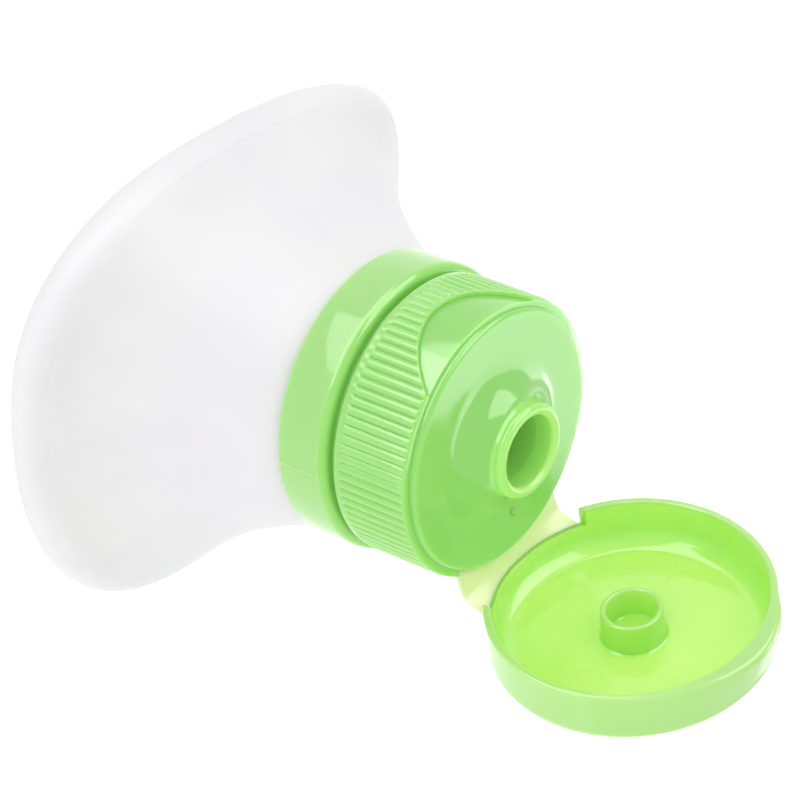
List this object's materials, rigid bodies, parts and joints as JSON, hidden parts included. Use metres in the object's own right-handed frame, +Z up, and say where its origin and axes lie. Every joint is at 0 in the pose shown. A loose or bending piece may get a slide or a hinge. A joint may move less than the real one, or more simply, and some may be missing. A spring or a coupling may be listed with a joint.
{
  "type": "squeeze bottle",
  "caption": "Soft oval squeeze bottle with a ribbed screw cap, an open flip-top lid on a hinge strap, a round spout and a threaded neck collar.",
  "frame": {"origin": "middle of the flat foot under the bottle's domed base", "axes": "+Z up the bottle's axis to the spout, -Y to the front with the thumb recess, +Y to the lid's hinge, +X to the right seen from the front"},
  "size_m": [0.0722, 0.0594, 0.0854],
  "materials": {
    "milky_silicone": "matte, milky and translucent",
    "apple_green_plastic": "satin moulded",
    "lime_green_plastic": "satin moulded, lit through",
    "pale_lime_film": "thin moulded film",
    "white_seal": "matte"
  },
  "bodies": {
    "bottle": {"bottle_body": "milky_silicone", "threaded_collar": "apple_green_plastic"},
    "screw_lift": {"cap_seal": "white_seal"},
    "screw_cap": {"cap": "apple_green_plastic"},
    "strap": {"hinge_strap": "pale_lime_film"},
    "lid": {"flip_lid": "lime_green_plastic"}
  },
  "joints": [
    {"name": "cap_lift", "type": "slide", "parent": "bottle", "child": "screw_lift", "axis": [0, 0, 1], "range_m": [0, 0.0048]},
    {"name": "cap_turn", "type": "hinge", "parent": "screw_lift", "child": "screw_cap", "pos_m": [0, 0, 0.0388], "axis": [0, 0, 1], "range_deg": [0, 540]},
    {"name": "lid_fold", "type": "hinge", "parent": "screw_cap", "child": "lid", "pos_m": [0, 0.01695, 0.04959], "axis": [-1, 0, 0], "range_deg": [-91.8, 20]},
    {"name": "strap_fold", "type": "hinge", "parent": "screw_cap", "child": "strap", "pos_m": [0, 0.0162, 0.0489], "axis": [-1, 0, 0], "range_deg": [-70, 20]}
  ],
  "couplings": [
    {"joint": "cap_lift", "follows": "cap_turn", "m_per_rad": 0.00050532},
    {"joint": "strap_fold", "follows": "lid_fold", "ratio": 0.67647}
  ]
}
